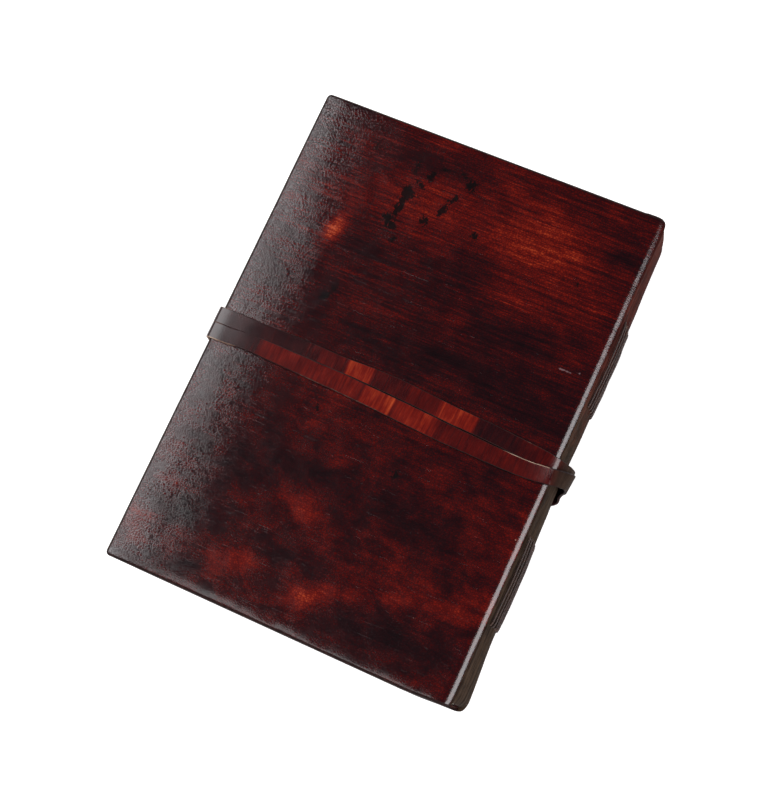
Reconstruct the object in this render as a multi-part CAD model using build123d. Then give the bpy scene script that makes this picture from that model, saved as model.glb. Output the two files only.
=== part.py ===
from build123d import *
import os

# Sketchbook bound in soft leather, lying flat with its front cover up. All lengths are in mm.
# X runs from the fore-edge to the spine, Y from tail to head, Z up.
# The origin is the centre of the footprint, on the table.

# Covers and spine: one leather skin, split where it folds at the two spine corners
COVER_HEIGHT = 178.0
COVER_WIDTH = 127.0
COVER_EDGE = 2.4        # leather turned over a thin board
SKIN = 1.1              # one layer of leather
RIM = 2.0               # leather wall round the board
JOINT_STRIP = 6.0       # bare leather between spine corner and board
CORNER_ROUND = 1.6
FOLD_GAP = 0.3          # clearance at each fold line
LINING = 0.3

# Paper: signatures of folded sheets
SIGNATURES = 6
SHEETS = 5
LEAF = 0.26
NEST_GAP = 0.015
CENTRE_GAP = 0.64       # inside the innermost fold, where the sewing thread lies
SIGNATURE_GAP = 0.2
BLOCK_CLEARANCE = 0.25
SPINE_CLEARANCE = 0.5
OVERHANG = 3.0          # cover beyond the pages on three sides

# Sewing stations along Y, and the thread
STATIONS = (51.8, 20.8, -27.2, -58.4)
THREAD = 0.6
PAPER_HOLE = 0.76
LEATHER_HOLE = 0.9

# Wrap strap: one strip, twice round the book, side by side
STRAP_WIDTH = 6.4
STRAP_THICK = 1.1
STRAP_GAP = 0.15        # strap to cover faces
FORE_GAP = 0.3          # strap to fore-edge
SPINE_SLACK = (3.6, 6.2)
STRAP_START_Y = 1.0
FRONT_DRIFT = -2.7      # how far a front run slopes toward the tail
BACK_DRIFT = -4.2
STRAP_END_X = 12.0      # where both ends stop, under the book

SIGNATURE_THICK = 2 * SHEETS * LEAF + 2 * (SHEETS - 1) * NEST_GAP + CENTRE_GAP
SIGNATURE_PITCH = SIGNATURE_THICK + SIGNATURE_GAP
BLOCK_THICK = SIGNATURES * SIGNATURE_PITCH - SIGNATURE_GAP
BOOK_THICK = BLOCK_THICK + 2 * (BLOCK_CLEARANCE + LINING + COVER_EDGE)

FORE_REACH = FORE_GAP + STRAP_THICK
SPINE_REACH = max(SPINE_SLACK) + STRAP_THICK
X_FORE = FORE_REACH - (FORE_REACH + COVER_WIDTH + SPINE_REACH) / 2
X_SPINE = X_FORE + COVER_WIDTH
Z_BACK = STRAP_THICK + STRAP_GAP
Z_FRONT = Z_BACK + BOOK_THICK

HINGE_X = X_SPINE - SKIN / 2
HINGE_FRONT_Z = Z_FRONT - SKIN / 2
HINGE_BACK_Z = Z_BACK + SKIN / 2

FOLD_X = X_SPINE - SKIN - SPINE_CLEARANCE
PAGE_EDGE_X = X_FORE + OVERHANG
PAGE_HEIGHT = COVER_HEIGHT - 2 * OVERHANG
BLOCK_BOTTOM = Z_BACK + COVER_EDGE + LINING + BLOCK_CLEARANCE


def block(x0, x1, y0, y1, z0, z1):
    centre = ((x0 + x1) / 2, (y0 + y1) / 2, (z0 + z1) / 2)
    return Pos(*centre) * Box(x1 - x0, y1 - y0, z1 - z0)


def rod_x(radius, x0, x1, y, z):
    return Pos((x0 + x1) / 2, y, z) * Rot(0, 90, 0) * Cylinder(radius, x1 - x0)


def rod_y(radius, y0, y1, x, z):
    return Pos(x, (y0 + y1) / 2, z) * Rot(90, 0, 0) * Cylinder(radius, y1 - y0)


def save(solid, name):
    export_step(solid, f"parts/{name}.step")


def signature_centre_z(number):
    """Signatures are numbered from the front cover down."""
    from_bottom = SIGNATURES - number
    return BLOCK_BOTTOM + SIGNATURE_THICK / 2 + from_bottom * SIGNATURE_PITCH


def flipped(solid):
    """The same piece turned over, for the back cover."""
    return mirror(solid, Plane.XY.offset((Z_FRONT + Z_BACK) / 2))


def cover_leather():
    """Front cover: a tray of leather, its rim turned round the board."""
    half = COVER_HEIGHT / 2
    end = HINGE_X - SKIN / 2 - FOLD_GAP
    board_edge = X_SPINE - JOINT_STRIP
    strip = block(X_FORE, end, -half, half, Z_FRONT - SKIN, Z_FRONT)
    body = block(X_FORE, board_edge, -half, half, Z_FRONT - COVER_EDGE, Z_FRONT)
    tray = strip + body
    corners = tray.edges().filter_by(Axis.Z).group_by(Axis.X)[0]
    tray = fillet(corners, CORNER_ROUND)
    outline = tray.faces().sort_by(Axis.Z)[-1].edges()
    outline = outline.sort_by(Axis.X)[:-1]
    tray = fillet(outline, 0.9)
    pocket = block(
        X_FORE + RIM,
        board_edge - RIM,
        -half + RIM,
        half - RIM,
        Z_FRONT - COVER_EDGE,
        Z_FRONT - SKIN,
    )
    return tray - pocket


def cover_board():
    half = COVER_HEIGHT / 2 - RIM
    x1 = X_SPINE - JOINT_STRIP - RIM
    return block(X_FORE + RIM, x1, -half, half, Z_FRONT - COVER_EDGE, Z_FRONT - SKIN)


def cover_lining():
    half = COVER_HEIGHT / 2 - OVERHANG / 2
    x0 = X_FORE + OVERHANG / 2
    x1 = X_SPINE - JOINT_STRIP
    top = Z_FRONT - COVER_EDGE
    return block(x0, x1, -half, half, top - LINING, top)


def spine_leather():
    """A flat strip standing between the covers, with a round bead along each fold."""
    half = COVER_HEIGHT / 2
    strip = block(X_SPINE - SKIN, X_SPINE, -half, half, HINGE_BACK_Z, HINGE_FRONT_Z)
    for z in (HINGE_BACK_Z, HINGE_FRONT_Z):
        strip += rod_y(SKIN / 2, -half, half, HINGE_X, z)
    for number in range(1, SIGNATURES + 1):
        for y in STATIONS:
            z = signature_centre_z(number)
            strip -= rod_x(LEATHER_HOLE / 2, X_SPINE - 2 * SKIN, X_SPINE + SKIN, y, z)
    return strip


def folded_sheet(number, sheet):
    """One sheet folded in half round the sheets nested inside it, with its sewing holes."""
    z = signature_centre_z(number)
    half = PAGE_HEIGHT / 2
    bend_x = FOLD_X - SIGNATURE_THICK / 2
    outer = SIGNATURE_THICK / 2 - (sheet - 1) * (LEAF + NEST_GAP)
    inner = outer - LEAF
    solid = block(PAGE_EDGE_X, bend_x, -half, half, z - outer, z + outer)
    solid += rod_y(outer, -half, half, bend_x, z)
    hollow = block(PAGE_EDGE_X - 1, bend_x, -half - 1, half + 1, z - inner, z + inner)
    hollow += rod_y(inner, -half - 1, half + 1, bend_x, z)
    solid -= hollow
    for y in STATIONS:
        solid -= rod_x(PAPER_HOLE / 2, bend_x, FOLD_X + 1, y, z)
    return solid


def stitch(x, x_end, y0, y1, z):
    """A straight run of thread along Y with a leg at each end."""
    thread = rod_y(THREAD / 2, y0, y1, x, z)
    for y in (y0, y1):
        thread += Pos(x, y, z) * Sphere(THREAD / 2)
        thread += rod_x(THREAD / 2, min(x, x_end), max(x, x_end), y, z)
    return thread


def strap_turn(edge_x, reach_x, y):
    """The strap's way round one edge of the book: a C seen along Y."""
    outward = 1 if reach_x > edge_x else -1
    inside = abs(reach_x - edge_x) - STRAP_THICK
    x0, x1 = sorted((edge_x, reach_x))
    outer = block(x0, x1, y - STRAP_WIDTH / 2, y + STRAP_WIDTH / 2, 0, Z_STRAP_TOP)
    corner = outer.edges().filter_by(Axis.Y).sort_by(Axis.X)
    corner = corner[-2:] if outward > 0 else corner[:2]
    outer = fillet(corner, inside + STRAP_THICK - 0.05)
    x0, x1 = sorted((edge_x - outward, edge_x + outward * inside))
    inner = block(x0, x1, y - STRAP_WIDTH, y + STRAP_WIDTH, STRAP_THICK, Z_STRAP_TOP - STRAP_THICK)
    corner = inner.edges().filter_by(Axis.Y).sort_by(Axis.X)
    corner = corner[-2:] if outward > 0 else corner[:2]
    inner = fillet(corner, inside - 0.05)
    return outer - inner


def strap_run(x0, y0, x1, y1, z):
    """A flat length of strap between two points, its ends cut along Y."""
    half = STRAP_WIDTH / 2
    outline = Polyline((x0, y0 - half), (x1, y1 - half), (x1, y1 + half), (x0, y0 + half), close=True)
    return Pos(0, 0, z) * extrude(make_face(outline), STRAP_THICK)


def wrap_strap():
    """Starts under the book, goes twice round it and ends under the book again."""
    top = Z_STRAP_TOP - STRAP_THICK
    y = STRAP_START_Y
    share = (STRAP_END_X - X_FORE) / COVER_WIDTH
    strap = strap_run(X_FORE, y, STRAP_END_X, y - BACK_DRIFT * share, 0)
    for slack in SPINE_SLACK:
        strap += strap_turn(X_FORE, X_FORE - FORE_REACH, y)
        strap += strap_run(X_FORE, y, X_SPINE, y + FRONT_DRIFT, top)
        y += FRONT_DRIFT
        strap += strap_turn(X_SPINE, X_SPINE + slack + STRAP_THICK, y)
        if slack == SPINE_SLACK[0]:
            strap += strap_run(X_FORE, y + BACK_DRIFT, X_SPINE, y, 0)
            y += BACK_DRIFT
    strap += strap_run(STRAP_END_X, y + BACK_DRIFT * (1 - share), X_SPINE, y, 0)
    return strap


Z_STRAP_TOP = Z_FRONT + STRAP_GAP + STRAP_THICK

os.makedirs("parts", exist_ok=True)

save(cover_leather(), "front_cover_leather")
save(cover_board(), "front_cover_board")
save(cover_lining(), "front_cover_lining")
save(flipped(cover_leather()), "back_cover_leather")
save(flipped(cover_board()), "back_cover_board")
save(flipped(cover_lining()), "back_cover_lining")
save(spine_leather(), "spine_leather")
save(wrap_strap(), "wrap_strap")

for number in range(1, SIGNATURES + 1):
    z = signature_centre_z(number)
    for sheet in range(1, SHEETS + 1):
        save(folded_sheet(number, sheet), f"signature_{number}_sheet_{sheet}")
    bend_x = FOLD_X - SIGNATURE_THICK / 2
    save(stitch(bend_x, FOLD_X, STATIONS[2], STATIONS[1], z), f"fold_stitch_{number}")
    outside_x = X_SPINE + THREAD / 2
    inner_face = X_SPINE - SKIN
    head = stitch(outside_x, inner_face, STATIONS[1], STATIONS[0], z)
    tail = stitch(outside_x, inner_face, STATIONS[3], STATIONS[2], z)
    save(head, f"spine_stitch_{number}_head")
    save(tail, f"spine_stitch_{number}_tail")
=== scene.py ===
"""A leather-bound sketchbook tied with a wrap strap, lying on a pale floor.

Lengths are in millimetres until a mesh is made, where MM turns them into metres. Places come
from the CAD frame: X from fore-edge to spine, Y from tail to head, Z up, front cover on top.
"""

import math

import bmesh
import bpy
import numpy as np
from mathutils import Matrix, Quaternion, Vector, noise


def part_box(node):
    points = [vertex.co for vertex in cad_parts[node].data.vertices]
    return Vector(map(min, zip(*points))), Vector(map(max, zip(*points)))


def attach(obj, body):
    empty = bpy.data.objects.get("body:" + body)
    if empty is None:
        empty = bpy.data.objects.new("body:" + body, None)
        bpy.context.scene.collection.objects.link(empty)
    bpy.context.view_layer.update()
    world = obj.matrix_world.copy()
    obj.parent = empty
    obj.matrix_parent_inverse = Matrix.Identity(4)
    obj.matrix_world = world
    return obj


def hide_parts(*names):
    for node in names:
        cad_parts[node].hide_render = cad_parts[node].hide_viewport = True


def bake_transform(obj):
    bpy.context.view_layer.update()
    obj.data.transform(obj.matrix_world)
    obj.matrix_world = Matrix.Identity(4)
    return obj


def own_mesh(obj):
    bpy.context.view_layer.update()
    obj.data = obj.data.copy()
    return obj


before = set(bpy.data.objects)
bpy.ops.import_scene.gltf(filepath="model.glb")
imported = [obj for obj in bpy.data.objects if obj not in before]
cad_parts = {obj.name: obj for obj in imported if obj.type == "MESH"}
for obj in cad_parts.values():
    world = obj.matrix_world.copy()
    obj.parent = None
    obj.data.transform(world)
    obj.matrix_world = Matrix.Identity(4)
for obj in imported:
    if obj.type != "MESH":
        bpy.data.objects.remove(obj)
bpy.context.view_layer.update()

MM = 0.001


# ---- sizes from the frame


def node_box(name):
    low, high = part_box(name)
    return np.array(low) / MM, np.array(high) / MM


cover_low, cover_high = node_box("front_cover_leather")
back_low, _ = node_box("back_cover_leather")
spine_low, spine_high = node_box("spine_leather")

X_FORE = cover_low[0]
X_SPINE = spine_high[0]
X_CENTRE = (X_FORE + X_SPINE) / 2
WIDTH = X_SPINE - X_FORE
HALF = cover_high[1]
Z_FRONT = cover_high[2]
Z_BACK = back_low[2]
Z_MIDDLE = (Z_FRONT + Z_BACK) / 2
COVER_EDGE = cover_high[2] - cover_low[2]
SKIN = spine_high[0] - spine_low[0]
SIGNATURES = sum(name.startswith("fold_stitch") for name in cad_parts)
SHEETS = sum(name.startswith("signature_1_sheet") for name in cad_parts)

# Leather skin
RIDGE_OUT = 0.9             # the worn spine corners stand out past the square ones
RIDGE_TURN = [(1.6, 19), (1.9, 42), (1.3, 90)]  # length of each stage of the fold, angle after it
FACE_OVERLAP = 2.6          # how far a cover's leather reaches down the spine before the seam
STRIP = 6.0                 # bare leather between spine corner and board
POCKET_RIM = 1.65           # leather wall round the board
FORE_DROOP = (1.0, 15.0)    # how deep and how far in the fore-edge bends down
TAIL_DROOP = (0.50, 4.0)
HEAD_DROOP = (0.3, 4.0)
COVER_SLIP = 0.4            # how far the covers have slipped along Y, opposite ways
SHADED_EDGE = 0.8           # how far in from the outline the dull edge reaches, its dark colour painted shade
SPINE_BULGE = 0.8           # how far the paper folds push the spine out
CORNER_ROUND = 1.6          # plan corners at the fore-edge
SPINE_CORNER = 1.9          # how much shorter the spine is at each end
SPINE_END_TURN = (1.5, 4.0)     # how far in, and over what length, the ends of the spine turn
TAIL_RISE = (0.8, 14, 2)    # the tail edge rises toward the spine: by how much, before and past it
WAVES = (0.10, 0.035)       # depth and scale of the skin's unevenness
DENTS = (0.045, 0.16)
CREASES = (0.16, 0.5)
STRAP_Y = -3.5              # middle of the two runs of strap across the cover
STRAP_PRESS = (0.12, 7, 12)     # how deep they press the skin in, and how far that reaches
BOARD_GAP = 0.03
RIDGE_BACKING = 0.45        # extra leather behind the spine corners


# ---- helpers


def smoothstep(value, low, high):
    t = np.clip((np.asarray(value, float) - low) / (high - low), 0, 1)
    return t * t * (3 - 2 * t)


def noise_grid(x, y, z=0.0, scale=1.0, octaves=3):
    """Smooth noise from about -1 to 1 at every point of the given arrays."""
    x, y, z = np.broadcast_arrays(x, y, z)
    values = [
        noise.fractal(Vector((a, b, c)) * scale, 0.6, 2.0, octaves)
        for a, b, c in zip(x.ravel(), y.ravel(), z.ravel())
    ]
    return np.array(values).reshape(x.shape)


def store(mesh, name, kind, values):
    attribute = mesh.attributes.new(name, kind, "POINT")
    key = "vector" if kind == "FLOAT_VECTOR" else "value"
    attribute.data.foreach_set(key, np.asarray(values, np.float32).ravel())


def link(name, data):
    """A new object in the scene."""
    made = bpy.data.objects.new(name, data)
    bpy.context.scene.collection.objects.link(made)
    return made


def make_piece(name, points, faces, flat, floats=None, sharp=50, slots=None):
    """A mesh object from points in mm. flat holds each point's place on the unrolled material."""
    mesh = bpy.data.meshes.new(name)
    mesh.from_pydata((np.asarray(points) * MM).tolist(), [], faces)
    store(mesh, "flat", "FLOAT_VECTOR", flat)
    for key, values in (floats or {}).items():
        store(mesh, key, "FLOAT", values)
    if slots is not None:
        for index in range(max(slots) + 1):
            mesh.materials.append(None)
        mesh.polygons.foreach_set("material_index", slots)
    work = bmesh.new()
    work.from_mesh(mesh)
    bmesh.ops.remove_doubles(work, verts=work.verts, dist=0.002 * MM)
    bmesh.ops.recalc_face_normals(work, faces=work.faces)
    work.to_mesh(mesh)
    work.free()
    mesh.polygons.foreach_set("use_smooth", [True] * len(mesh.polygons))
    mesh.set_sharp_from_angle(angle=math.radians(sharp))
    return link(name, mesh)


def shell_faces(rows, columns):
    """Quads of a closed sheet: an outer grid, an inner grid after it, and walls round the rim."""
    index = np.arange(rows * columns).reshape(rows, columns)
    inner = index + rows * columns
    faces = []
    for a in range(rows - 1):
        for b in range(columns - 1):
            corners = (a, b), (a + 1, b), (a + 1, b + 1), (a, b + 1)
            faces.append([index[c] for c in corners])
            faces.append([inner[c] for c in reversed(corners)])
    rim = [(0, b) for b in range(columns)]
    rim += [(a, columns - 1) for a in range(1, rows)]
    rim += [(rows - 1, b) for b in range(columns - 2, -1, -1)]
    rim += [(a, 0) for a in range(rows - 2, 0, -1)]
    for here, there in zip(rim, rim[1:] + rim[:1]):
        faces.append([index[here], inner[here], inner[there], index[there]])
    return [[int(v) for v in face] for face in faces]


def spots(x, y, placed):
    """Sum of soft oval spots: (x, y, half length, half width, tilt in degrees, strength)."""
    total = np.zeros(np.broadcast(x, y).shape)
    for cx, cy, rx, ry, tilt, strength in placed:
        c, s = math.cos(math.radians(tilt)), math.sin(math.radians(tilt))
        along = ((x - cx) * c + (y - cy) * s) / rx
        across = ((y - cy) * c - (x - cx) * s) / ry
        total += strength * np.exp(-(along**2 + across**2))
    return total


# ---- leather skin

RIDGE_STAGES = np.concatenate([[0], np.cumsum([run for run, _ in RIDGE_TURN])])
RIDGE_RUN = RIDGE_STAGES[-1]
ridge_s = np.linspace(0, RIDGE_RUN, 193)
ridge_angle = np.radians(np.interp(ridge_s, RIDGE_STAGES, [0] + [turn for _, turn in RIDGE_TURN]))
ridge_step = np.diff(ridge_s)
ridge_middle = (ridge_angle[1:] + ridge_angle[:-1]) / 2
ridge_x = np.concatenate([[0], np.cumsum(np.cos(ridge_middle) * ridge_step)])
ridge_drop = np.concatenate([[0], np.cumsum(np.sin(ridge_middle) * ridge_step)])
RIDGE_DROP = ridge_drop[-1]

FLAT_RUN = WIDTH + RIDGE_OUT - ridge_x[-1]
FACE_RUN = (Z_FRONT - Z_BACK) - 2 * RIDGE_DROP
FACE_START = FLAT_RUN + RIDGE_RUN
BACK_RIDGE = FACE_START + FACE_RUN
WRAP_END = BACK_RIDGE + RIDGE_RUN + FLAT_RUN
SHINE_END = FLAT_RUN + RIDGE_STAGES[2]      # where the polished cover gives way to the dull spine

# Places on the front cover, from its centre, as spots() reads them: lighter red glows and dark
# patches in the dye, black stains, and scuffs
WARM_SPOTS = [
    (22, 66, 42, 14, 0, 0.34), (36, 64, 24, 5, 5, 0.14),
    (38, 75, 18, 5, -4, 0.16), (-32, 60, 26, 8, 0, 0.20),
    (-12, 67, 12, 7, 0, 0.16), (-40, 44, 3.4, 5.5, -15, 0.95),
    (32, 44, 20, 6, 0, 0.20), (56, 46, 8, 12, 0, 0.12),
    (14, 30, 5, 3.6, 0, 0.24), (0, 86, 60, 4, 0, 0.12),
    (24, 22, 14, 3, 0, 0.08), (-40, 30, 12, 4, 0, 0.10),
    (56, -35, 12, 14, 0, 0.18), (26, -20, 28, 5, 0, 0.10),
    (58, -13, 9, 3, 0, 0.14), (-6, -50, 12, 5.5, 8, 0.24),
    (-26, -56, 12, 4, 0, 0.12), (28, -63, 30, 4.5, 4, 0.22),
    (9, -73, 13, 3.6, 22, 0.62), (5, -80, 7, 5, 30, 0.18),
    (-23, -74, 11, 6, 12, 0.34), (-59, -75, 5, 7, 0, 0.34),
    (50, -60, 14, 6, 0, 0.12), (-10, 22, 30, 3, 0, 0.06),
]
DARK_SPOTS = [
    (10, 46, 9, 8, 25, 0.22), (33, 32, 18, 6, -8, 0.24),
    (40, 16, 16, 8, 0, 0.20), (2, 13, 30, 7, 0, 0.20),
    (-30, 41, 12, 9, 0, 0.14), (-33, 22, 4, 7, -25, 0.20),
    (57, 71, 7, 2.2, 0, 0.48), (54, 39, 4, 4, 0, 0.22),
    (38, 78, 7, 4, 0, 0.18), (-28, 77, 8, 3, 0, 0.14),
    (-50, 72, 9, 8, 0, 0.12), (61, 20, 7, 12, 0, 0.14),
    (44, -17, 12, 6, 0, 0.16), (28, -37, 22, 6, 0, 0.16),
    (-8, -39, 12, 4, 0, 0.14), (-36, -40, 20, 5, 0, 0.12),
    (-47, -65, 17, 6, 8, 0.24), (-9, -64, 14, 5, 12, 0.16),
    (40, -75, 24, 5.5, -2, 0.26), (-4, -80, 6, 6, 30, 0.12),
    (-36, -81, 8, 4, 25, 0.20), (30, -84, 30, 3, 0, 0.12),
]
STAIN_SPOTS = [
    (-22.2, 66.0, 1.8, 2.0, 0, 1.0), (-19.5, 65.3, 2.4, 1.0, -15, 0.95),
    (-21.8, 61.5, 1.4, 3.2, 0, 1.0), (-23.0, 58.0, 1.3, 1.6, 20, 0.9),
    (-24.5, 54.8, 2.0, 1.6, -30, 0.9), (-22.0, 52.5, 2.5, 1.7, -10, 0.95),
    (-19.5, 48.0, 1.6, 2.2, -40, 0.66), (-12.0, 58.5, 1.9, 2.2, 0, 1.0),
    (-7.6, 64.5, 1.2, 3.3, -14, 1.0), (-5.2, 69.2, 1.0, 2.0, -20, 0.8),
    (-2.2, 75.6, 1.9, 2.2, 20, 1.0), (-5.4, 78.2, 2.0, 1.0, -30, 0.75),
    (-16.3, 73.4, 1.7, 2.3, 0, 0.82), (-13.0, 78.0, 2.6, 1.0, -10, 0.75),
    (-18.4, 69.6, 2.2, 1.1, -30, 0.9), (-22.5, 75.0, 1.3, 3.0, 0, 0.72),
    (6.2, 59.7, 1.8, 1.3, -20, 0.9), (-38.0, 77.0, 2.6, 1.5, 0, 0.62),
    (-32.8, 20.6, 2.3, 1.7, 30, 0.75), (-31.0, 24.5, 1.2, 3.2, -10, 0.62),
    (16.0, -26.0, 1.5, 2.6, 0, 0.75), (-54.0, 62.0, 1.8, 1.6, 0, 0.62),
    (45.0, 56.5, 1.1, 1.3, 0, 0.7), (-18.0, -15.0, 1.1, 2.8, 20, 0.55),
]
SCUFF_SPOTS = [
    (51.4, 28.4, 1.7, 0.7, -14, 1.0),
    (55.2, 28.3, 2.4, 0.6, 6, 1.0),
    (58.5, 29.2, 1.2, 0.5, 10, 0.7),
]


def wrap_frame(s):
    """Point and outward direction, in X and Z, at distance s along the outside of the skin."""
    s = np.asarray(s, float)
    lower = s > FACE_START + FACE_RUN / 2
    t = np.where(lower, WRAP_END - s, s)
    past = np.clip(t - FLAT_RUN, 0, RIDGE_RUN)
    turn = np.interp(past, ridge_s, ridge_angle)
    x = X_FORE + np.minimum(t, FLAT_RUN) + np.interp(past, ridge_s, ridge_x)
    z = Z_FRONT - np.interp(past, ridge_s, ridge_drop) - np.maximum(t - FACE_START, 0)
    up = np.cos(turn)
    z = np.where(lower, Z_FRONT + Z_BACK - z, z)
    return x, z, np.sin(turn), np.where(lower, -up, up)


def spine_bulge(s, y):
    """How far the paper folds push the spine out, from none at each ridge to most at mid height."""
    share = np.clip((s - FACE_START) / FACE_RUN, 0, 1)
    ends = 1 - 0.5 * smoothstep(np.abs(y), HALF - 14, HALF)
    return SPINE_BULGE * np.sin(math.pi * share) ** 1.5 * ends


def spine_lean(s, y):
    """How far the spine stands out at the back ridge: less at the head, more at the tail."""
    share = np.clip((s - FACE_START) / FACE_RUN, 0, 1)
    fade = 1 - smoothstep(s, BACK_RIDGE + 1, BACK_RIDGE + RIDGE_RUN + 4)
    lean = 0.5 * smoothstep(-y, 0, 40) + 1.3 * smoothstep(-y, 60, 86) - 0.6 * smoothstep(y, 55, 80)
    return (lean - 0.2) * share * fade


def end_pull(from_fore, from_end):
    """How far the two ends of the spine turn in."""
    e = np.clip(from_end / SPINE_END_TURN[1], 0, 1)
    on_spine = smoothstep(from_fore, FLAT_RUN - 2.5, FLAT_RUN + 2)
    return SPINE_END_TURN[0] * (1 - np.sqrt(1 - (1 - e) ** 2)) * on_spine


def skin_relief(s, y):
    """Low waves and dents that the leather has got from use."""
    waves = WAVES[0] * noise_grid(s, y * 0.7, scale=WAVES[1], octaves=3)
    dents = DENTS[0] * noise_grid(s, y, 40.0, scale=DENTS[1], octaves=2)
    on_face = smoothstep(s, FACE_START - 1, FACE_START + 2)
    on_face *= 1 - smoothstep(s, BACK_RIDGE - 2, BACK_RIDGE + 1)
    creases = CREASES[0] * noise_grid(s * 0.55, y * 0.22, 9.0, scale=CREASES[1], octaves=3)
    depth, full, reach = STRAP_PRESS
    under_strap = 1 - smoothstep(np.abs(y - STRAP_Y), full, reach)
    pressed = depth * under_strap * (1 - on_face)
    return (waves + dents) * (1 - 0.8 * under_strap) - pressed + creases * on_face


def edge_lines(reach, roll):
    """Distances from an edge: close together where it rolls over, then about 0.9 apart."""
    rolled = [roll * (1 - math.cos(math.radians(a))) for a in (0, 18, 33, 47, 60, 75, 90)]
    count = round((reach - 2.2) / 0.9)
    inner = np.linspace(2.2, reach, count + 1)
    return rolled + [POCKET_RIM - 0.02, POCKET_RIM + 0.02] + list(inner)


def skin_piece(name, s_lines, y_lines):
    """One length of the skin, from the first of s_lines to the last."""
    s, y = np.meshgrid(s_lines, y_lines, indexing="ij")
    from_fore = np.minimum(s, WRAP_END - s)
    cut = np.clip((from_fore - FLAT_RUN - RIDGE_STAGES[1]) / (RIDGE_RUN - RIDGE_STAGES[1]), 0, 1)
    length = HALF - SPINE_CORNER * (1 - np.sqrt(1 - cut**2))
    rise, before, past = TAIL_RISE
    length = length - rise * smoothstep(from_fore, FLAT_RUN - before, FLAT_RUN + past) * (y < 0)
    y = y / HALF * length
    from_end = length - np.abs(y)

    # round the plan corners at the fore-edge
    a = np.clip((CORNER_ROUND - from_fore) / CORNER_ROUND, 0, 1)
    b = np.clip((CORNER_ROUND - from_end) / CORNER_ROUND, 0, 1)
    in_corner = (a > 0) & (b > 0)
    ra, rb = a * np.sqrt(1 - b**2 / 2), b * np.sqrt(1 - a**2 / 2)
    fore = np.where(in_corner, CORNER_ROUND * (1 - ra), from_fore)
    end = np.where(in_corner, CORNER_ROUND * (1 - rb), from_end)
    from_outline = np.where(in_corner, CORNER_ROUND * (1 - np.hypot(ra, rb)), np.minimum(fore, end))
    s_plan = np.where(s < WRAP_END / 2, fore, WRAP_END - fore)
    y_plan = np.sign(y) * (length - end)
    x_plan = s + X_FORE - X_CENTRE

    # let the edges bend down, unevenly
    def droop(depth, reach, distance):
        return depth * np.clip(1 - distance / reach, 0, 1) ** 2

    on_cover = 1 - smoothstep(from_fore, FLAT_RUN - STRIP, FLAT_RUN)
    slump = 1 + 0.6 * np.exp(-(((y - 24) / 20) ** 2)) - 0.25 * smoothstep(y, 50, 80)
    slump = slump - 0.2 * smoothstep(-y, 20, 40) * (1 - smoothstep(-y, 66, 80))
    fall = droop(FORE_DROOP[0] * np.minimum(slump, 1.1), FORE_DROOP[1] * slump, fore)
    uneven = 0.8 - 0.25 * smoothstep(x_plan, -20, 25)
    uneven = uneven + 0.5 * noise_grid(x_plan, 0.0, scale=0.09, octaves=3)
    fall = np.maximum(fall, uneven * on_cover * droop(*TAIL_DROOP, length + y_plan))
    fall = np.maximum(fall, on_cover * droop(*HEAD_DROOP, length - y_plan))
    bare_strip = smoothstep(from_fore, WIDTH - STRIP - 1, WIDTH - STRIP)
    thick = SKIN + (COVER_EDGE - SKIN) * (1 - bare_strip)
    roll = (thick - fall) / 2
    inset = np.clip(roll - from_outline, 0, roll)
    lift = roll - np.sqrt(roll**2 - inset**2)

    in_pocket = (from_fore > POCKET_RIM) & (from_fore < WIDTH - STRIP - POCKET_RIM)
    in_pocket &= from_end > POCKET_RIM
    deep = np.where(in_pocket, SKIN - BOARD_GAP, thick - lift)
    deep = deep + RIDGE_BACKING * smoothstep(from_fore, FLAT_RUN, FACE_START)

    x, z, nx, nz = wrap_frame(s_plan)
    out = spine_bulge(s, y) + skin_relief(s, y)
    quiet = smoothstep(from_outline, 0, 3)
    outside = out * (0.4 + 0.6 * quiet) - fall - lift
    inside = spine_bulge(s, y) * 0.8 - deep
    share = np.clip((s - FACE_START) / FACE_RUN, 0, 1)
    shift_x = spine_lean(s, y) - end_pull(from_fore, from_end) * (0.35 + 0.65 * share)
    shift_y = -COVER_SLIP * (1 - 2 * share) * (1 - y / HALF) / 2
    points, flat = [], []
    for depth in (outside, inside):
        px, py, pz = x + nx * depth + shift_x, y_plan + shift_y, z + nz * depth
        points.append(np.stack([px, py, pz], -1).reshape(-1, 3))
        flat.append(np.stack([x_plan, y, -depth], -1).reshape(-1, 3))
    floats = {
        "warm": spots(x_plan, y, WARM_SPOTS) - spots(x_plan, y, DARK_SPOTS),
        "stain": spots(x_plan, y, STAIN_SPOTS),
        "edge": 1 - smoothstep(from_outline, 0.0, 1.4),
        "scuff": spots(x_plan, y, SCUFF_SPOTS),
    }
    floats = {key: np.tile(values.ravel(), 2) for key, values in floats.items()}
    faces = shell_faces(len(s_lines), len(y_lines))
    along = np.tile(s.ravel(), 2)
    middle = [sum(along[v] for v in face) / 4 for face in faces]
    # Faces at the rolled edge take slot 2, whose dark colour is painted shade on the roll.
    rolled = np.tile(from_outline.ravel(), 2)
    at_edge = [sum(rolled[v] for v in face) / 4 < SHADED_EDGE for face in faces]
    on_spine = [SHINE_END < value < WRAP_END - SHINE_END for value in middle]
    slots = [1 if spine else 2 if edge else 0 for spine, edge in zip(on_spine, at_edge)]
    return make_piece(name, np.concatenate(points), faces, np.concatenate(flat), floats, slots=slots)


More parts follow.
